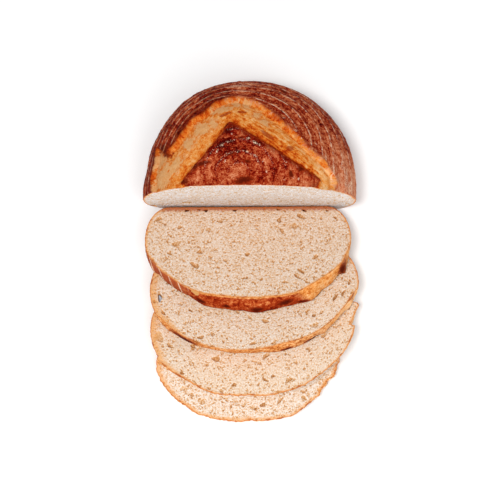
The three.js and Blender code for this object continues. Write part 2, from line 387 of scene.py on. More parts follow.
# holes are (across, up, half length, half width, lean in degrees, depth) on the upper face. An
# edge is the slice's own torn outline, across and up, on its upper face and on its lower face.
slices = [{
    "name": "firstSlice", "node": "slice_1", "seed": 11, "fray": 0.2,
    "thickness": 19, "width": 200, "foot": -22.8, "shift": -2,
    "turn": 0.4, "footTilt": 26.4, "crownTilt": 24,
    "edge": [
        (-98.4, 57.2), (-91.7, 68.8), (-81.3, 78.8), (-73.1, 85), (-64.8, 91.5), (-55.8, 96),
        (-46, 100.5), (-34, 102.6), (-22.7, 103.9), (-10, 105.2), (3.4, 105.8), (19.6, 104.6),
        (32, 103.8), (45.4, 100.8), (61.2, 91.8), (72.8, 84), (84.7, 74.8), (94, 65), (96.8, 58.8),
    ],
    "lowEdge": [
        (-91.9, 63), (-82.6, 75), (-74.4, 82), (-65.1, 88.5), (-58.9, 91.5), (-51.6, 97.2),
        (-44.1, 102.5), (-34.9, 105), (-23.2, 106.5), (-5.4, 108.5), (8.3, 111.2), (18.8, 108.8),
        (33.8, 104.8), (48.5, 101.2), (62.7, 97.8), (72.5, 86.5), (82.9, 78.5), (89.8, 68.5),
        (97.1, 67), (98, 60), (101.7, 45.5),
    ],
    "holes": [
        (-48, 54, 3, 2.2, 10, 1.8), (-52.7, 69, 5.4, 2.5, 35, 2.4), (-37.7, 60, 2.4, 1.6, 20, 1.3),
        (-1, 57, 2.6, 2.2, 0, 1.6), (53.7, 12, 5, 2.1, 32, 2.2), (31.5, 16.5, 2.6, 2.2, 90, 2.2),
        (46.5, 24, 3.6, 3, 60, 1), (-28.4, 17.5, 3.3, 1.5, 5, 2.4), (-68.7, 24.5, 3, 1.8, -30, 1.4),
        (-71.8, 44.5, 5, 3.2, -20, 0.9), (-2.6, 84, 2.5, 1.3, -8, 2.9), (51.6, 76.5, 4.6, 1.4, 42, 2.4),
        (47.5, 82.5, 3.6, 1.2, 40, 2.6), (57.3, 89, 2.8, 1.1, 25, 1.8), (88.3, 13.5, 2.2, 1.3, 60, 2.4),
        (-62, 3.5, 2.6, 1.5, 0, 3.6), (-42.9, 3.6, 2.2, 1.4, 0, 3.6), (-13.4, 3.8, 2.4, 1.4, 0, 3.6),
        (30.5, 3.2, 1.6, 1, 30, 3), (57.3, 4.4, 2.6, 1.3, 25, 3.4), (80.6, 5, 1.5, 1.1, 0, 3.2),
        (-50, 2.6, 1.8, 1, 0, 3), (-84, 20, 1.7, 1.2, 60, 2), (33, 27, 1.3, 0.9, 0, 2.6),
    ],
}, {
    "name": "secondSlice", "node": "slice_2", "seed": 12, "fray": 0.25,
    "thickness": 17, "width": 202, "foot": -66.5, "shift": 2.5,
    "turn": 3.5, "footTilt": 22.5, "crownTilt": 20.8,
    "edge": [
        (-94.2, 63.2), (-84.2, 74.8), (-72.9, 85.8), (-63.3, 91.8), (-53.3, 97.2), (-40.7, 101.5),
        (-25.1, 104.8), (-12.6, 105.8), (3.3, 104.8), (19.1, 102), (29.9, 100), (44.7, 96.2),
        (58, 89.8), (71.1, 80.8), (82.9, 69), (91.5, 58), (97.2, 46.8),
    ],
    "lowEdge": [
        (-84.7, 72), (-76.9, 78), (-68.1, 84.5), (-54, 91.5), (-41.5, 95), (-25.4, 99.2),
        (-12.8, 100.5), (3.3, 100.5), (23.9, 100.5), (30.2, 98.8), (48, 92.5), (57, 86.5), (64.6, 84.8),
        (69.9, 78.8), (80.7, 67.5), (88.2, 59.5),
    ],
    "holes": [
        (-97.5, 48, 2.2, 1, 70, 2.6), (-88.9, 61, 3, 1.2, 60, 2.8), (-53.8, 89.5, 3, 1.7, -12, 2.5),
        (8, 76.5, 3.4, 1.9, 20, 1.7), (54.8, 73.5, 1.9, 1.5, -40, 2.6), (54.8, 84, 4.2, 2.6, -20, 0.9),
        (14.6, 100, 2.8, 1.4, -5, 1.6), (-5, 99, 3.6, 1.4, -8, 1.8), (76.9, 55.5, 4.4, 1.3, -52, 2.6),
        (84.9, 51.5, 3.6, 1.2, -55, 2.4), (92, 40, 3.2, 1.1, -70, 2.2), (-63, 60, 1.8, 1.1, 30, 2.4),
        (-92, 44, 4.7, 1.8, 88, 8),
    ],
}, {
    "name": "thirdSlice", "node": "slice_3", "seed": 13, "fray": 0.5,
    "thickness": 13, "width": 198, "foot": -103, "shift": 1,
    "turn": 3.5, "footTilt": 23.8, "crownTilt": 9.8,
    "edge": [
        (97.8, 14.5), (103.3, 21.5), (99.3, 27.5), (96.4, 34), (92.4, 41.5), (96.8, 43), (93.4, 53),
        (87, 64), (79.6, 73), (69.7, 81), (56.3, 90.5), (40, 99), (23.7, 102.5), (-6.9, 103.5),
        (-23.2, 102.5), (-43, 99), (-57.3, 91), (-68.7, 83), (-94.9, 61),
    ],
    "holes": [
        (-36.6, 67.5, 4, 2.5, 12, 1.8), (-57.8, 53.5, 2.6, 1.8, 40, 2),
        (-89.9, 42.5, 5.4, 4.2, 60, 0.9), (10.4, 67.5, 3.8, 1.8, -28, 1.6), (15.8, 87, 2, 1.3, 0, 2.4),
        (30.1, 92, 4, 1.6, -25, 1.8), (-21.2, 93, 2.4, 1.4, -10, 2.4), (-69.2, 79, 2.2, 1.3, 30, 2.6),
        (8, 90, 3.4, 1.1, 35, 2.2), (-80, 52, 2.4, 1.2, 50, 2.4),
    ],
}, {
    "name": "fourthSlice", "node": "slice_4", "seed": 14, "fray": 0.6,
    "thickness": 12.7, "width": 178, "foot": -139.2, "shift": -2.5,
    "turn": 1.5, "footTilt": 0, "crownTilt": 0,
    "edge": [
        (90.6, 27.5), (93.2, 30), (90.6, 32.5), (88.5, 38.5), (86.4, 44), (78.5, 48.5), (78.5, 50.5),
        (72.8, 56.5), (71.5, 61), (66.5, 64.5), (59.2, 70.5), (52.9, 75), (42.9, 81), (33.5, 82.5),
        (20.4, 84), (0.5, 83.5), (-23.6, 83), (-33, 82), (-44.5, 78.5), (-51.3, 77), (-63.9, 68),
        (-74.4, 61), (-83.3, 51), (-89.5, 43), (-91.6, 35.5),
    ],
    "holes": [
        (-47.6, 64.5, 4.6, 3, 0, 0.9), (13.6, 69.5, 3, 1.7, -20, 2.4), (6, 73, 1.6, 1, 0, 2.4),
        (-58, 58, 2.4, 1.6, 20, 1.4), (-66, 52, 3.6, 2.2, 10, 0.8),
    ],
}]

crumbHoles = {
    "step": 0.25,
    "margin": 2,  # the map goes this far past the loaf's half width
    "kinds": [  # how many on a face, range of the half width and of the depth
        (4, (1.6, 2.2), (1.1, 1.7)),
        (60, (0.9, 1.3), (1, 1.6)),
        (1050, (0.52, 0.82), (0.6, 1.2)),
        (1700, (0.36, 0.52), (0.35, 0.7)),
    ],
    "stretch": (1.1, 2.2),
    "lean": 0.5,  # spread of their direction about the curve of the crust, in radians
    "pivot": 0.4,  # share of the height of the point that the curve runs round
    "reach": 1.5, "ripple": 0.14, "lobes": 3, "lobeShift": 7, "rimAt": 1.2, "rimWidth": 0.18,
    "rimDepth": 1.2,
    "cutFace": [(-95, 15, 3, 3, 0, 2.4), (-84, 22, 3, 2.5, 90, 2.4), (-62, 28, 6, 5, 0, 1.6)],
}
mapHalfWidth = loaf["halfWidth"] + crumbHoles["margin"]


def lattice(us, vs):  # a square lattice laid out on a disc, its faces and the loop round its edge
    u, v = np.meshgrid(us, vs)
    disc = columns(u * np.sqrt(1 - v * v / 2), v * np.sqrt(1 - u * u / 2)).reshape(-1, 2)
    flat = columns(u, v).reshape(-1, 2) * 0.5 + 0.5
    ids = np.arange(u.size).reshape(u.shape)
    quads = columns(ids[:-1, :-1], ids[:-1, 1:], ids[1:, 1:], ids[1:, :-1]).reshape(-1, 4)
    loop = np.concatenate([ids[0, :-1], ids[:-1, -1], ids[-1, :0:-1], ids[:0:-1, 0]])
    return disc, flat, quads, loop


def inPatch(flat, patch):
    size, corner = patch
    return flat * size + corner


def ribbon(upper, lower):  # quads between two loops of equal length
    return columns(upper, lower, np.roll(lower, -1), np.roll(upper, -1))


def fanJoin(fine, coarse):  # triangles from a fine loop to a coarse one
    factor = len(fine) // len(coarse)
    faces = []
    for k, near in enumerate(coarse):
        far = coarse[(k + 1) % len(coarse)]
        for m in range(factor):
            pair = fine[k * factor + m], fine[(k * factor + m + 1) % len(fine)]
            faces.append((pair[0], near if m < factor / 2 else far, pair[1]))
            if m + 1 == math.ceil(factor / 2):
                faces.append((pair[1], near, far))
    return np.array(faces)


def joinPatch(uv, fine, coarse):  # a join takes its fine corners' UVs from the coarse loop
    join = fanJoin(fine, coarse)
    stand = np.arange(len(uv))
    stand[fine] = np.repeat(coarse, len(fine) // len(coarse))
    return join, uv[stand[join]], 1


def addObject(name, data):
    made = bpy.data.objects.new(name, data)
    bpy.context.scene.collection.objects.link(made)
    return made


def breadMesh(name, points, patches, fields, materials):
    # each patch: its faces as seen from inside, a UV pair for each face corner, its material's number
    sizes = np.concatenate([np.full(len(faces), faces.shape[1]) for faces, _, _ in patches])
    corners = np.concatenate([faces[:, ::-1].ravel() for faces, _, _ in patches])
    uvs = np.concatenate([uv[:, ::-1].ravel() for _, uv, _ in patches])
    slots = np.concatenate([np.full(len(faces), slot) for faces, _, slot in patches])
    mesh = bpy.data.meshes.new(name)
    mesh.vertices.add(len(points))
    mesh.vertices.foreach_set("co", (points * mm + loafOrigin).ravel())
    mesh.loops.add(len(corners))
    mesh.loops.foreach_set("vertex_index", corners)
    mesh.polygons.add(len(sizes))
    mesh.polygons.foreach_set("loop_start", np.cumsum(sizes) - sizes)
    mesh.polygons.foreach_set("material_index", slots)
    mesh.update(calc_edges=True)
    mesh.uv_layers.new(name="OFBake").data.foreach_set("uv", uvs)
    for key, values in fields.items():
        kind, part = ("FLOAT_VECTOR", "vector") if values.ndim == 2 else ("FLOAT", "value")
        mesh.attributes.new(key, kind, "POINT").data.foreach_set(part, values.ravel())
    for material in materials:
        mesh.materials.append(material)
    mesh.shade_smooth()
    mesh.validate()
    print(name, len(points), "points,", int((sizes - 2).sum()), "triangles")
    return addObject(name, mesh)


def holeList(halfWidth, height, seed, named):
    rng = np.random.default_rng(seed)
    holes = [(x, z, long, short, math.radians(lean), depth) for x, z, long, short, lean, depth in named]
    for number, radius, deep in crumbHoles["kinds"]:
        for _ in range(number):
            x, z = rng.uniform(-halfWidth, halfWidth), rng.uniform(0, height)
            short = rng.uniform(*radius)
            long = short * rng.uniform(*crumbHoles["stretch"])
            curve = math.atan2(-x * height, (z - crumbHoles["pivot"] * height) * 2 * halfWidth)
            lean = curve + rng.normal(0, crumbHoles["lean"])
            holes.append((x, z, long, short, lean, rng.uniform(*deep)))
    return holes


def holeMap(height, seed, named):  # depths of holes and of their rims over a cut face, on a grid
    step = crumbHoles["step"]
    count = int(2 * mapHalfWidth / step), int(height / step)
    depths, rims = np.zeros(count), np.zeros(count)
    for x, z, long, short, lean, depth in holeList(mapHalfWidth, height, seed, named):
        reach = crumbHoles["reach"] * long
        i0, i1 = (int(np.clip((x + mapHalfWidth + d) / step, 0, count[0])) for d in (-reach, reach))
        j0, j1 = (int(np.clip((z + d) / step, 0, count[1])) for d in (-reach, reach))
        if i1 <= i0 or j1 <= j0:
            continue
        alongX = np.arange(i0, i1) * step - mapHalfWidth - x
        alongZ = np.arange(j0, j1) * step - z
        a, b = inOval(alongX[:, None], alongZ[None], long, short, lean)
        wave = np.sin(crumbHoles["lobes"] * np.arctan2(b, a) + crumbHoles["lobeShift"] * x)
        away = np.hypot(a, b) * (1 + crumbHoles["ripple"] * wave)
        bowl = depth * np.sqrt(np.clip(1 - away**2, 0, 1))
        fromRim = (away - crumbHoles["rimAt"]) / crumbHoles["rimWidth"]
        rim = np.exp(-(fromRim**2)) * min(depth, crumbHoles["rimDepth"])
        window = np.s_[i0:i1, j0:j1]
        depths[window] = np.maximum(depths[window], bowl)
        rims[window] = np.maximum(rims[window], rim)
    return depths, rims * (depths == 0)


def readMap(values, place):  # the map's value at each point
    spot = (place[:, [0, 2]] + (mapHalfWidth, 0)) / crumbHoles["step"]
    low = np.clip(np.floor(spot).astype(int), 0, np.array(values.shape) - 2)
    part = np.clip(spot - low, 0, 1)
    i, j = low.T
    near = lerp(values[i, j], values[i + 1, j], part[:, 0])
    far = lerp(values[i, j + 1], values[i + 1, j + 1], part[:, 0])
    return lerp(near, far, part[:, 1])


def isInLoaf(points):
    x, y, z = points.T
    ring = ringHeightAt(y)
    corner = np.sqrt(np.clip(1 - (1 - z / ring) ** 2, 0, 1)) ** np.where(x < 0, crustSkin["tuck"], 1)
    lowShare = lerp(loaf["baseShare"], 1, corner)
    return np.where(z > ring, (z < domeHeight(x, y)) & (share(x, y) < 1), (z > 0) & (share(x, y) < lowShare))


def skinWays(disc, loop):  # directions over half a ball, with the loop in the plane of the cut
    spread = np.linalg.norm(disc, axis=1)
    polar = np.clip(spread, 0, 1) * math.pi / 2
    around = disc / np.maximum(spread, tiny)[:, None]
    ways = columns(around[:, 0] * np.sin(polar), np.cos(polar), around[:, 1] * np.sin(polar))
    ways *= crustSkin["reach"]
    ways[loop, 1] = 0
    return unit(ways)


def leaveLoaf(centre, ways):  # where each ray leaves the loaf
    near, far = np.zeros(len(ways)), np.full(len(ways), crustSkin["farthest"])
    for _ in range(crustSkin["halvings"]):
        half = 0.5 * (near + far)
        isIn = isInLoaf(centre + ways * half[:, None])
        near, far = np.where(isIn, half, near), np.where(isIn, far, half)
    return centre + ways * near[:, None]


def skinPoints(place, loop):  # the plain skin with its relief, grooves and roughness
    x, y, z = place.T
    fields = crustFields(place)
    onDome = smooth((z - ringHeightAt(y)) / crustSkin["domeStart"])
    onSkin = smooth(z / crustSkin["skinStart"])
    out = outward(x, y)
    out[:, 2] *= onDome
    strayX, strayY = wander(place)
    raised = relief(x + strayX, y + strayY) * onDome
    start = basket["grooveStart"]
    outside = smooth(fields["lipEdge"] / start) + smooth(-fields["capEdge"] / start)
    raised += basket["groove"] * outside * onSkin * np.cos(2 * math.pi * fields["ring"])
    points = place + unit(out) * (raised + layers(place, crustSkin["rough"]) * onSkin)[:, None]
    rearLeft = between(-x, *crustSkin["slimLeft"]) * between(y, *crustSkin["slimStart"])
    points[:, 0] += crustSkin["slim"] * rearLeft * (1 - between(y, *crustSkin["slimEnd"]))
    points[:, 2] = np.maximum(points[:, 2], 0)
    points[loop, 1] = loaf["firstCut"]
    return points


def byTurn(x, z):  # directions from the middle in order, with the distances there
    turn = np.arctan2(z, x)
    order = np.argsort(turn)
    return turn[order], np.hypot(x, z)[order]


def cutFacePlace(disc, rim, centre):  # a disc spread over the cut face, and the distances to its rim
    across, _, up = crustSkin["reach"]
    turn = np.arctan2(disc[:, 1] * up, disc[:, 0] * across)
    rimX, _, rimZ = (rim - centre).T
    radius = np.interp(turn, *byTurn(rimX, rimZ), period=2 * math.pi)
    spread = np.linalg.norm(disc, axis=1) * cutFaceSkin["inset"]
    x, z = np.cos(turn) * radius * spread, np.sin(turn) * radius * spread + centre[2]
    return columns(x, np.full_like(x, loaf["firstCut"]), z), radius * (1 - spread)


def makeHalfLoaf():
    centre = np.array([0, loaf["firstCut"], crustSkin["centreHeight"]])
    us = np.linspace(-1, 1, crustSkin["across"] + 1)
    turnPoint = -1 + 2 * crustSkin["lowShare"]
    vs = np.concatenate([
        np.linspace(-1, turnPoint, crustSkin["lowRows"], endpoint=False),
        np.linspace(turnPoint, 1, crustSkin["highRows"] + 1),
    ])
    disc, flat, quads, loop = lattice(us, vs)
    place = leaveLoaf(centre, skinWays(disc, loop))
    points = skinPoints(place, loop)

    step = cutFaceSkin["coarser"]
    faceDisc, faceFlat, faceQuads, faceLoop = lattice(us[::step], vs[::step])
    facePlace, toRim = cutFacePlace(faceDisc, points[loop], centre)
    height = loaf["height"] + cutFaceSkin["headroom"]
    depths, rims = holeMap(height, cutFaceSkin["holeSeed"], crumbHoles["cutFace"])
    depth = readMap(depths, facePlace) * smooth(toRim / cutFaceSkin["rimRun"])
    facePoints = facePlace.copy()
    facePoints[:, 1] += depth + layers(facePlace, cutFaceSkin["rough"])

    allPlace = np.concatenate([place, facePlace])
    bare = np.zeros(len(place))
    fields = breadFields(
        allPlace,
        0,
        allPlace[:, 1] - loaf["firstCut"],
        hole=[bare, depth],
        holeRim=[bare, readMap(rims, facePlace)],
        toRim=[bare, toRim],
    )
    uv = np.concatenate([inPatch(flat, crustSkin["uv"]), inPatch(faceFlat, cutFaceSkin["uv"])])
    faceIds = faceQuads[:, ::-1] + len(points)
    patches = [
        (quads, uv[quads], 0),
        (faceIds, uv[faceIds], 1),
        joinPatch(uv, loop, faceLoop + len(points)),
    ]
    materials = [crustMaterial, crumbMaterials[0]]
    return breadMesh("halfLoaf", np.concatenate([points, facePoints]), patches, fields, materials)


def middleAt(y):
    return 0.5 * domeHeight(np.array(0.0), np.array(float(y)))


def outline(y):  # the section at Y, as its distance from the middle by direction
    domeSteps, cornerSteps, baseSteps = sliceSkin["outlineSteps"]
    x = -halfWidthAt(y) * np.cos(np.linspace(0, math.pi, domeSteps))
    allY = np.full_like(x, y)
    out = outward(x, allY) * relief(x, allY, sliceSkin["relief"])[:, None]
    domeX, domeZ = x + out[:, 0], domeHeight(x, y) + out[:, 2]
    corner = np.linspace(0, math.pi / 2, cornerSteps)[1:]
    cornerX = halfWidthAt(y, loaf["baseShare"] + (1 - loaf["baseShare"]) * np.cos(corner))
    cornerZ = ringHeightAt(y) * (1 - np.sin(corner))
    baseX = np.linspace(cornerX[-1], -cornerX[-1], baseSteps)[1:-1]
    allX = np.concatenate([domeX, cornerX, baseX, -cornerX[::-1]])
    allZ = np.concatenate([domeZ, cornerZ, 0 * baseX, cornerZ[::-1]]) - middleAt(y)
    return byTurn(allX, allZ)


def tornEdge(edge, middle, angles):  # the radius of a torn edge by direction, and where it holds
    x, z = np.array(edge).T
    turns = (np.arctan2(z - middle, x) + math.pi / 2) % (2 * math.pi)
    spot = (angles + math.pi / 2) % (2 * math.pi)
    order = np.argsort(turns)
    radius = np.interp(spot, turns[order], np.hypot(x, z - middle)[order])
    starts = smooth((spot - turns.min()) / sliceSkin["fadeOver"])
    ends = smooth((turns.max() - spot) / sliceSkin["fadeOver"])
    return radius, starts * ends


def sectionPlace(piece, y, disc, part):  # a disc spread over a section, and the distances to its rim
    across, up = sliceSkin["reach"]
    turn = np.arctan2(disc[:, 1] * up, disc[:, 0] * across)
    radius = np.interp(turn, *outline(y), period=2 * math.pi)
    edges = [(piece["edge"], 1 - part if "lowEdge" in piece else 1 - sliceSkin["plainShare"] * part)]
    if "lowEdge" in piece:
        edges.append((piece["lowEdge"], part))
    moved = radius
    for edge, weight in edges:
        torn, holds = tornEdge(edge, middleAt(y), turn)
        moved = moved + weight * holds * (torn - radius)
    spread = np.linalg.norm(disc, axis=1)
    x, z = np.cos(turn) * (moved * spread), np.sin(turn) * (moved * spread) + middleAt(y)
    return columns(x, np.full(len(disc), float(y)), z), moved * (1 - spread)


def lay(piece, length, x, v, n):  # x across, v up the slice from its foot, n through its thickness
    start = math.radians(piece["footTilt"])
    bend = (math.radians(piece["crownTilt"]) - start) / length
    tilt = start + bend * v
    if bend == 0:
        forward, rise = v * np.cos(tilt), v * np.sin(tilt)
    else:
        forward, rise = (np.sin(tilt) - math.sin(start)) / bend, (math.cos(start) - np.cos(tilt)) / bend
    x, y = turned(x, n * np.sin(tilt) - forward, -math.radians(piece["turn"]))
    return columns(x + piece["shift"], y + piece["foot"], rise + n * np.cos(tilt))


def sideUv(column, row, strip, perStrip):  # the slice's side, cut into strips laid one above another
    (width, height), (left, low) = sliceSkin["sideUv"]
    across = left + width * (column - strip * perStrip) / perStrip
    return columns(across, low + sliceSkin["stripPitch"] * strip + height * row / sliceSkin["sideRows"])


def sidePatch(rows):  # the quads round a slice's side with their UVs
    count = len(rows[0])
    quads = np.concatenate([ribbon(a, b) for a, b in zip(rows, rows[1:])])
    perStrip = math.ceil(count / sliceSkin["strips"])
    column = np.tile(np.arange(count), len(rows) - 1)
    row = np.repeat(np.arange(len(rows) - 1), count)
    strip = column // perStrip
    corners = [(column, row), (column, row + 1), (column + 1, row + 1), (column + 1, row)]
    return quads, np.stack([sideUv(*corner, strip, perStrip) for corner in corners], axis=1), 0


def upperPlace(piece, back, disc):  # the slice's upper face with its frayed edge
    place, toRim = sectionPlace(piece, back, disc, 0)
    fray = piece["fray"] * layers(place, sliceSkin["fray"])
    fray *= np.linalg.norm(disc, axis=1) ** sliceSkin["frayPower"]
    fromMiddle = place[:, [0, 2]] - (0, middleAt(back))
    place[:, [0, 2]] += fromMiddle * (fray / sliceSkin["frayRadius"])[:, None]
    return place, toRim


def sideRing(piece, back, disc, part):  # the points round the slice, part of the way down its side
    y = back - piece["thickness"] * part
    place, _ = sectionPlace(piece, y, disc, part)
    away = unit(place[:, [0, 2]] - (0, middleAt(y)))
    rough = layers(place, sliceSkin["grit"])
    rough += piece["fray"] * layers(place * (1, 0, 1) + (0, back, 0), sliceSkin["fray"])
    rough *= part < 1
    rough += sliceSkin["puff"] * math.sin(math.pi * part) * smooth(place[:, 2] / sliceSkin["puffStart"])
    place[:, [0, 2]] += away * rough[:, None]
    return place


def makeSlice(piece, number, back, crumb):
    front = back - piece["thickness"]
    length = float(2 * middleAt(back))
    girth = piece["width"] / (2 * halfWidthAt(np.array(float(back))))
    us, vs = (np.linspace(-1, 1, sliceSkin[way] + 1) for way in ("across", "up"))
    disc, flat, quads, loop = lattice(us, vs)
    step = sliceSkin["coarser"]
    underDisc, underFlat, underQuads, underLoop = lattice(us[::step], vs[::step])
    depths, rims = holeMap(length + sliceSkin["headroom"], piece["seed"], piece["holes"])

    top, toRim = upperPlace(piece, back, disc)
    hole = readMap(depths, top) * smooth(toRim / sliceSkin["rimRun"])
    deep, size, seed = sliceSkin["grain"]
    grain = deep * lumps(top, size, piece["seed"] + seed)
    parts = np.arange(1, sliceSkin["sideRows"] + 1) / sliceSkin["sideRows"]
    sides = [sideRing(piece, back, disc[loop], part) for part in parts]
    under, underToRim = sectionPlace(piece, front, underDisc * sliceSkin["inset"], 1)
    underHole = readMap(depths[::-1], under) * smooth(underToRim / sliceSkin["underRimRun"])

    place = np.concatenate([top, *sides, under])
    bare = np.zeros(len(loop) * sliceSkin["sideRows"])
    lift = np.concatenate([-(hole + grain), bare, underHole])
    points = lay(piece, length, place[:, 0] * girth, place[:, 2], place[:, 1] - front + lift)
    fields = breadFields(
        place,
        number,
        back - place[:, 1],
        hole=[hole, bare, underHole],
        holeRim=[readMap(rims, top), bare, 0 * underHole],
        toRim=[toRim, bare, underToRim],
    )
    underStart = len(disc) + len(bare)
    rows = [loop, *np.arange(len(disc), underStart).reshape(-1, len(loop))]
    uv = np.zeros((len(place), 2))
    uv[: len(disc)] = inPatch(flat, sliceSkin["uv"])
    uv[underStart:] = inPatch(underFlat, sliceSkin["underUv"])
    underIds = underQuads[:, ::-1] + underStart
    patches = [
        (quads, uv[quads], 1),
        sidePatch(rows),
        joinPatch(uv, rows[-1], underLoop + underStart),
        (underIds, uv[underIds], 1),
    ]
    return breadMesh(piece["name"], points, patches, fields, [crustMaterial, crumb])


class Wire:  # a socket whose value can be reckoned with
    def __init__(self, tree, socket=None):
        self.tree = tree
        self.socket = socket

    def node(self, kind, settings=None, sockets=None, output=0):
        made = self.tree.nodes.new(kind)
        for key, value in (settings or {}).items():
            if key == "stops":
                ramp = made.color_ramp
                while len(ramp.elements) < len(value):
                    ramp.elements.new(0.5)
                for element, (position, colour) in zip(ramp.elements, value):
                    element.position = position
                    element.color = (*colour, 1)
            else:
                setattr(made, key, value)
        for key, value in (sockets or {}).items():
            if isinstance(value, Wire):
                self.tree.links.new(value.socket, made.inputs[key])
            else:
                made.inputs[key].default_value = value
        return Wire(self.tree, made.outputs[output] if made.outputs else None)

    def maths(self, operation, *values):
        return self.node("ShaderNodeMath", {"operation": operation}, dict(enumerate(values)))

    def __add__(self, other):
        return self.maths("ADD", self, other)

    __radd__ = __add__

    def __sub__(self, other):
        return self.maths("SUBTRACT", self, other)

    def __rsub__(self, other):
        return self.maths("SUBTRACT", other, self)

    def __mul__(self, other):
        return self.maths("MULTIPLY", self, other)

    __rmul__ = __mul__

    def __truediv__(self, other):
        return self.maths("DIVIDE", self, other)

    def sway(self, amount):  # how far a noise is from its middle, made larger or smaller
        return (self - 0.5) * amount

    def atLeast(self, other):
        return self.maths("MAXIMUM", self, other)

    def rise(self, start, end):  # 0 before start, 1 after end
        return self.node(
            "ShaderNodeMapRange",
            {"interpolation_type": "SMOOTHSTEP", "clamp": True},
            {0: self, 1: start, 2: end, 3: 0.0, 4: 1.0},
        )

    def fall(self, start, end):
        return 1 - self.rise(start, end)

    def nearLine(self):  # 0 where the value is whole, 0.5 half way between
        return self.maths("PINGPONG", self, 0.5)

    def ramp(self, stops):
        return self.node("ShaderNodeValToRGB", {"stops": stops}, {0: self})

    def over(self, under, colour):  # this mask lays a colour over another
        # 6 and 7 are the node's two colours, and 2 is the colour it gives
        sides = {6: under, 7: colour if isinstance(colour, Wire) else (*colour, 1)}
        return self.node("ShaderNodeMix", {"data_type": "RGBA"}, {0: self, **sides}, 2)

    def coated(self, tones, *coats):  # this colour under each coat's tone, by the coat's mask
        colour = self
        for mask, name in coats:
            colour = mask.over(colour, tones[name])
        return colour

    def attribute(self, name, output=2):
        return self.node("ShaderNodeAttribute", {"attribute_name": name}, None, output)

    def vector(self, name):
        return self.attribute(name, 1)

    def axes(self):
        return [self.node("ShaderNodeSeparateXYZ", None, {0: self}, axis) for axis in range(3)]

    def noise(self, size, detail=2.0, roughness=0.55):  # this wire is the place
        return self.node(
            "ShaderNodeTexNoise",
            {"normalize": True},
            {"Vector": self, "Scale": 1 / size, "Detail": detail, "Roughness": roughness},
        )


def newMaterial(name):
    material = bpy.data.materials.new(name)
    material.use_nodes = True
    tree = material.node_tree
    tree.nodes.clear()
    return material, Wire(tree)


def finishMaterial(wire, sockets):
    shader = wire.node("ShaderNodeBsdfPrincipled", None, sockets)
    wire.node("ShaderNodeOutputMaterial", None, {"Surface": shader})


def bump(wire, height, distance):
    sockets = {"Height": height, "Distance": distance * mm, "Strength": 1.0}
    return wire.node("ShaderNodeBump", None, sockets)


# each ramp's stops, darkest first, and the plain colours laid over them
crustTones = {
    "old": [
        (0.2, (0.05, 0.0006, 0.0001)), (0.36, (0.17, 0.003, 0.0005)), (0.49, (0.27, 0.023, 0.0045)),
        (0.61, (0.37, 0.072, 0.023)), (0.78, (0.5, 0.14, 0.056)), (0.98, (0.62, 0.27, 0.15)),
    ],
    "young": [
        (0.18, (0.24, 0.012, 0.001)), (0.36, (0.47, 0.07, 0.004)), (0.5, (0.58, 0.165, 0.018)),
        (0.64, (0.63, 0.265, 0.068)), (0.86, (0.7, 0.41, 0.19)),
    ],
    "sliced": [
        (0.25, (0.08, 0.003, 0.0005)), (0.42, (0.22, 0.015, 0.002)), (0.52, (0.32, 0.036, 0.006)),
        (0.66, (0.48, 0.115, 0.028)), (0.8, (0.66, 0.29, 0.11)),
    ],
    "gold": [
        (0.25, (0.44, 0.1, 0.01)), (0.42, (0.62, 0.22, 0.045)), (0.55, (0.72, 0.34, 0.11)),
        (0.75, (0.78, 0.48, 0.25)),
    ],
    "tan": (0.54, 0.265, 0.092), "paleTan": (0.6, 0.355, 0.165), "crack": (0.46, 0.085, 0.01),
    "red": (0.26, 0.022, 0.003), "burnt": (0.1, 0.006, 0.001), "charred": (0.04, 0.002, 0.0006),
    "fleck": (0.58, 0.25, 0.1), "haze": (0.36, 0.1, 0.027), "flour": (0.76, 0.55, 0.39),
    "dusty": (0.36, 0.085, 0.03),
}
crustLook = {
    "fields": ("capEdge", "lipEdge", "ring", "slice", "fromCut", *marks),
    "noises": {  # size, detail and roughness
        "patches": (14,),
        "mottle": (3.2, 3, 0.65),
        "ragged": (2.2, 3, 0.65),
        "speck": (0.95, 2, 0.6),
        "islands": (7, 2, 0.5),
        "cracks": (9, 2, 0.6),
        "broken": (7, 3, 0.6),
        "grains": (1.6, 2, 0.6),
        "clouds": (6, 3),
    },
    "fibreGrain": (1 / 12, 1 / 2.6, 1),  # finer across the band's strands than along them
    "fibre": (1, 3, 0.6), "streak": (1, 3, 0.65), "atLeft": (-38, -8), "goldSlope": 0.79,
    "stripeSlope": 0.2, "stripeStart": 88, "stripePitch": 9.6, "roughness": 0.5, "specular": 0.015,
    "bump": 0.5,
}


def crustInputs(wire):  # all that the crust's colours follow, by name
    place = wire.vector("place")
    on = {name: wire.attribute(name) for name in crustLook["fields"]}
    on.update({name: place.noise(*kind) for name, kind in crustLook["noises"].items()})
    on = SimpleNamespace(**on)
    on.x, on.y, on.z = place.axes()
    sockets = {0: wire.vector("strand"), 1: crustLook["fibreGrain"]}
    strand = wire.node("ShaderNodeVectorMath", {"operation": "MULTIPLY"}, sockets)
    on.fibre = strand.noise(*crustLook["fibre"])
    on.streak = wire.vector("coil").noise(*crustLook["streak"])
    on.toFront = on.y - loaf["firstCut"]
    on.atLeft = on.x.fall(*crustLook["atLeft"])
    on.loaf = on.slice.fall(0.3, 0.6)
    on.first = on.slice.rise(0.3, 0.6) * on.slice.fall(1.3, 1.6)
    on.further = on.slice.rise(1.3, 1.6)
    on.cap = on.capEdge.fall(-1, 0.6)
    spread = (on.speck.sway(9) + on.mottle.sway(9)) * (1 - on.atLeft)
    on.band = on.capEdge.rise(-0.6, 0.9) * (on.lipEdge + spread).fall(-1.4, 0.6)
    return on


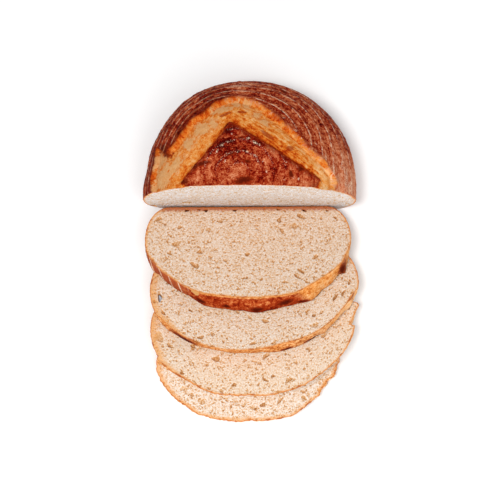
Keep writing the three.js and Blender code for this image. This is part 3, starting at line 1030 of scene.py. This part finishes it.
def oldCrust(on):  # of the cap and outside the score
    level = 0.5 + on.patches.sway(0.7) + on.mottle.sway(0.7) + on.streak.sway(1) + on.speck.sway(0.9)
    capLevel = on.y.fall(-12, 16) * 0.05 - on.y.rise(4, 34) * 0.15 + (on.ring.nearLine() - 0.25) * 0.4
    rightLevel = on.x.rise(40, 90) * on.y.fall(5, 60) * 0.29
    outerLevel = 0.03 + on.mottle.sway(0.7) + rightLevel - on.atLeft * 0.14
    level = level + on.cap * capLevel + (1 - on.cap) * outerLevel
    flecks = on.speck.rise(0.57, 0.7) * on.mottle.rise(0.4, 0.6) * 0.5
    return level.ramp(crustTones["old"]).coated(crustTones, (flecks, "fleck"))


def youngCrust(on):  # of the torn band
    level = 0.63 + on.fibre.sway(1.1 - on.atLeft * 0.5) + on.islands.sway(0.5)
    level = level + on.speck.sway(0.6) + on.mottle.sway(0.8)
    level = level - on.x.rise(-10, 30) * on.x.fall(45, 65) * 0.04 + on.x.rise(45, 70) * 0.19
    level = level - on.capEdge.fall(4, 20) * (0.17 - on.atLeft * 0.1)
    level = level - on.capEdge.fall(1, 8) * (0.16 - on.atLeft * 0.05)
    level = level - on.capEdge.fall(0.4, 2.8) * 0.2
    level = level - (0 - on.lipEdge).fall(0, 7) * (0.14 + on.atLeft * 0.1)
    isle = on.tan + on.ragged.sway(1.8) + on.islands.sway(1.6) + on.fibre.sway(1.2)
    crackle = on.cracks.maths("ABSOLUTE", on.cracks - 0.5).fall(0, 0.02) * on.atLeft * 0.6
    cracks = (isle.rise(-0.35, -0.1) * 0.4).atLeast(crackle)
    young = level.ramp(crustTones["young"]).coated(crustTones, (cracks, "crack"))
    matte = (on.speck + on.mottle * 0.6).rise(0.6, 1).over((*crustTones["tan"], 1), crustTones["paleTan"])
    return (isle.rise(-0.02, 0.25) * 0.8).over(young, matte)


def loafCrust(on):
    colour = on.band.over(oldCrust(on), youngCrust(on))
    nearCap = on.capEdge.fall(-0.4, 0.9) * on.capEdge.rise(-4.5, -0.3)
    nearLip = on.lipEdge.fall(0.8, 9) * on.lipEdge.rise(-1.5, 0.4) * (0.35 + on.atLeft * 0.65)
    burnt = (nearCap * 0.65 + nearLip * 0.8) * on.mottle.rise(0.36, 0.56)
    return colour.coated(crustTones, (burnt, "burnt"))


def slicedCrust(on):
    shade = 0.5 + on.mottle.sway(1) + on.patches.sway(0.6) + on.speck.sway(0.5)
    sliced = shade.ramp(crustTones["sliced"])
    atRight = (on.x + on.toFront * crustLook["goldSlope"] + on.ragged.sway(16)).rise(40, 52)
    patchy = on.further * (0.45 + on.mottle.rise(0.35, 0.6) * 0.5)
    golden = atRight.atLeast(patchy).atLeast(on.fromCut.fall(0.4, 2.4) * 0.8)
    gold = shade + on.speck.sway(0.3) + on.further * (on.x.rise(25, 60) * 0.16 - 0.03)
    return golden.over(sliced, gold.ramp(crustTones["gold"])).coated(
        crustTones,
        (on.x.fall(-64, -55) * on.first * 0.6, "dusty"),
        (on.z.fall(2, 6) * 0.8, "red"),
        ((on.tan + on.ragged.sway(0.8)).rise(0, 0.2), "tan"),
    )


def darkMarks(on):
    scorch = on.dark + on.ragged.sway(1.1 + on.loaf * 0.9)
    return (
        ((on.red + on.ragged.sway(0.9)).rise(-0.05, 0.3) * 0.75, "red"),
        (scorch.rise(-0.4, 0.1) * 0.75, "red"),
        (scorch.rise(-0.1, 0.4) * 0.8, "burnt"),
        (scorch.rise(0.3, 0.7) * (0.7 - on.loaf * 0.2), "charred"),
    )


def flouring(on):  # the basket's flour, with the haze under it
    nearest = (on.ring + 0.09 * on.mottle).nearLine()
    outside = on.lipEdge.rise(1, 3) * on.loaf
    grains = on.grains.rise(0.36, 0.54)
    thin = nearest.fall(0.02, 0.08) * on.broken.rise(0.36, 0.6) * (0.25 + grains * 0.75)
    haze = nearest.fall(0.06, 0.3) * on.clouds.rise(0.34, 0.6) * (on.atLeft * 0.3 + 0.1) * outside
    along = on.x + on.toFront * crustLook["stripeSlope"] + crustLook["stripeStart"]
    stripes = (along / crustLook["stripePitch"]).nearLine().fall(0.05, 0.11) * on.x.fall(-62, -57) * on.first
    specks = (on.flour + on.ragged.sway(1.3)).rise(0.1, 0.55) * on.speck.rise(0.42, 0.58)
    dots = nearest.fall(0.03, 0.12) * on.speck.rise(0.56, 0.64) * on.cap * on.y.rise(-6, 14)
    flour = thin * outside * (0.75 - on.atLeft * 0.2) + specks * 0.7 + dots * 0.5 + stripes * grains * 0.9
    return (haze, "haze"), (flour, "flour")


def makeCrust():
    material, wire = newMaterial("bakedCrust")
    on = crustInputs(wire)
    haze, flour = flouring(on)
    colour = on.loaf.over(slicedCrust(on), loafCrust(on)).coated(crustTones, *darkMarks(on), haze, flour)
    height = on.speck * 0.5 + on.mottle * 0.5 + on.fibre * on.band * 0.6
    finishMaterial(wire, {
        "Base Color": colour,
        "Roughness": crustLook["roughness"] + 0.2 * on.speck + flour[0] * 0.3,
        "Normal": bump(wire, height, crustLook["bump"]),
        "Specular IOR Level": crustLook["specular"],
    })
    return material


# for each crumb: its tone, how deep its edge is golden, how much deeper at its left end, and whether its
# foot is scorched. Each tone also holds painted light and shade: the pieces are darker or lighter by how the
# light falls on each, the first slice darkest and the fourth lightest
crumbKinds = [
    {"name": "crumbOfCutFace", "litTone": (0.65, 0.585, 0.54), "golden": 3, "leftEnd": 0, "foot": 0},
    {"name": "crumbOne", "litTone": (0.66, 0.5, 0.38), "golden": 2.6, "leftEnd": 1.5, "foot": 1},
    {"name": "crumbTwo", "litTone": (0.69, 0.535, 0.41), "golden": 2.6, "leftEnd": 9, "foot": 1},
    {"name": "crumbThree", "litTone": (0.69, 0.54, 0.41), "golden": 2.6, "leftEnd": 9, "foot": 1},
    {"name": "crumbFour", "litTone": (0.7, 0.575, 0.46), "golden": 5.5, "leftEnd": 4, "foot": 1},
]
crumbTones = {
    "shares": [  # each stop of the ramp, as a share of the tone
        (0, (1.1, 1.24, 1.42)),
        (0.3, (1, 1, 1)),
        (0.6, (0.88, 0.65, 0.4)),
        (0.9, (0.6, 0.33, 0.13)),
    ],
    # the colours of the deepest holes, of the cut face's foot and of the hole through a slice are painted
    # shade
    "brightest": 0.93, "holeShadow": (0.06, 0.008, 0.004), "golden": (0.7, 0.335, 0.1),
    "edge": (0.56, 0.17, 0.035), "foot": (0.38, 0.08, 0.012), "low": (0.4, 0.24, 0.16),
    "through": (0.72, 0.72, 0.76),
}
crumbLook = {
    "grain": (1.4, 2, 0.6), "clouds": (12, 2, 0.5),
    "stray": (5,),
    # the holes darken with their depth, as painted shade, and their rims lighten, as paler crumb walls with
    # a painted highlight; deep holes go near black, as painted shade
    "scorch": (6, 3, 0.6), "level": 0.29, "paintedPoreShade": 0.74, "poreDepth": 0.8, "paleRimAndHighlight": 0.12,
    "holeShadowDepth": (2.6, 3.3), "throughDepth": (3.8, 4.2), "roughness": 0.85, "specular": 0.05,
    "bump": 0.35,
}


def toned(litTone, shares):
    return tuple(min(part * change, crumbTones["brightest"]) for part, change in zip(litTone, shares))


def makeCrumb(kind):
    material, wire = newMaterial(kind["name"])
    place = wire.vector("place")
    hole, holeRim, toRim = (wire.attribute(name) for name in ("hole", "holeRim", "toRim"))
    x, _, z = place.axes()
    grain, clouds, stray, scorch = (
        place.noise(*crumbLook[name]) for name in ("grain", "clouds", "stray", "scorch")
    )
    # painted shade: the crumb darkens with each hole's depth; the rims round the holes are lighter, as paler
    # crumb walls with a painted highlight
    poreShadow = crumbLook["paintedPoreShade"] * hole / (hole + crumbLook["poreDepth"])
    shade = crumbLook["level"] + grain.sway(1.8) + clouds.sway(0.25) + poreShadow - holeRim * crumbLook["paleRimAndHighlight"]
    # the piece's tone carries its painted light and shade
    colour = shade.ramp([(stop, toned(kind["litTone"], shares)) for stop, shares in crumbTones["shares"]])
    fromRim = toRim + stray.sway(1.8)
    golden = fromRim.fall(0.6, kind["golden"] + x.fall(-95, -60) * kind["leftEnd"]) * 0.8
    scorched = fromRim.fall(0.6, 2.6) * scorch.rise(0.54, 0.62) * kind["foot"] * 0.8
    atFoot = (z + grain.sway(12)).fall(2.6, 6) * 0.85 * kind["foot"]
    colour = colour.coated(
        crumbTones,
        (golden, "golden"),
        (fromRim.fall(0.1, 1.3) * 0.85, "edge"),
        (scorched, "foot"),
        (atFoot, "foot"),
        # painted shade: the cut face darkens over its lowest 24 mm, where the first slice shades it, partly
        # also the brownish line of crust at its very foot
        (z.fall(1, 24) * 0.5 * (1 - kind["foot"]), "low"),
        # painted shade: deep holes, and holes near the foot, go near black
        ((hole + z.fall(5, 9) * 1.2).rise(*crumbLook["holeShadowDepth"]), "holeShadow"),
        # painted shade: the hole through the second slice is painted pale grey, as the shaded floor seen
        # through it
        (hole.rise(*crumbLook["throughDepth"]), "through"),
    )
    finishMaterial(wire, {
        "Base Color": colour,
        "Roughness": crumbLook["roughness"],
        "Normal": bump(wire, grain - hole * 0.3, crumbLook["bump"]),
        "Specular IOR Level": crumbLook["specular"],
    })
    return material


crustMaterial = makeCrust()
crumbMaterials = [makeCrumb(kind) for kind in crumbKinds]
print("materials made")

halfLoaf = makeHalfLoaf()
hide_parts("half_loaf")
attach(halfLoaf, "root")

back = loaf["firstCut"]
for number, piece in enumerate(slices, 1):
    made = makeSlice(piece, number, back, crumbMaterials[number])
    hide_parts(piece["node"])
    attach(made, "root")
    back -= piece["thickness"]

view = {
    "target": (0, -58.2, 20), "elevation": 80, "distance": 1100, "lens": 80.8, "sensor": 36,
}


def makeCamera():
    camera = addObject("camera", bpy.data.cameras.new("camera"))
    tilt = math.radians(view["elevation"])
    target = np.array(view["target"]) * mm + loafOrigin
    camera.location = target + view["distance"] * mm * np.array([0, -math.cos(tilt), math.sin(tilt)])
    camera.rotation_euler = (math.pi / 2 - tilt, 0, 0)
    camera.data.lens = view["lens"]
    camera.data.sensor_width = view["sensor"]
    bpy.context.scene.camera = camera


studio = {
    "floorSize": 6, "floorDrop": 0.2, "floorTone": (0.84, 0.84, 0.84), "floorRoughness": 0.9,
    "floorGlow": 0.02, "sky": 0.5,
    "lamps": [
        {"name": "key", "place": (-0.42, -0.35, 1.87), "size": 0.5, "power": 23},
        {"name": "fill", "place": (0.5, -0.94, 1.77), "size": 1.2, "power": 12.7},
        {"name": "front", "place": (0.2, -1.94, 0.48), "size": 1.0, "power": 12},
    ],
}
white = (1, 1, 1, 1)


def makeFloor():
    mesh = bpy.data.meshes.new("floor")
    half = studio["floorSize"] / 2
    corners = [(-half, -half, 0), (half, -half, 0), (half, half, 0), (-half, half, 0)]
    mesh.from_pydata(corners, [], [(0, 1, 2, 3)])
    floor = addObject("floor", mesh)
    floor.location.z = -studio["floorDrop"] * mm
    material, wire = newMaterial("paleFloor")
    finishMaterial(wire, {
        "Base Color": (*studio["floorTone"], 1),
        "Roughness": studio["floorRoughness"],
        "Emission Color": white,
        "Emission Strength": studio["floorGlow"],
    })
    mesh.materials.append(material)


def makeLight():
    world = bpy.data.worlds.new("studio")
    world.use_nodes = True
    background = world.node_tree.nodes["Background"]
    background.inputs["Color"].default_value = white
    background.inputs["Strength"].default_value = studio["sky"]
    bpy.context.scene.world = world
    for lamp in studio["lamps"]:
        light = bpy.data.lights.new(lamp["name"], "AREA")
        light.size = lamp["size"]
        light.energy = lamp["power"]
        holder = addObject(lamp["name"], light)
        holder.location = lamp["place"]
        holder.rotation_euler = (-holder.location).to_track_quat("-Z", "Y").to_euler()
    bpy.context.scene.view_settings.view_transform = "Standard"


makeCamera()
makeFloor()
makeLight()
print("camera and studio made")
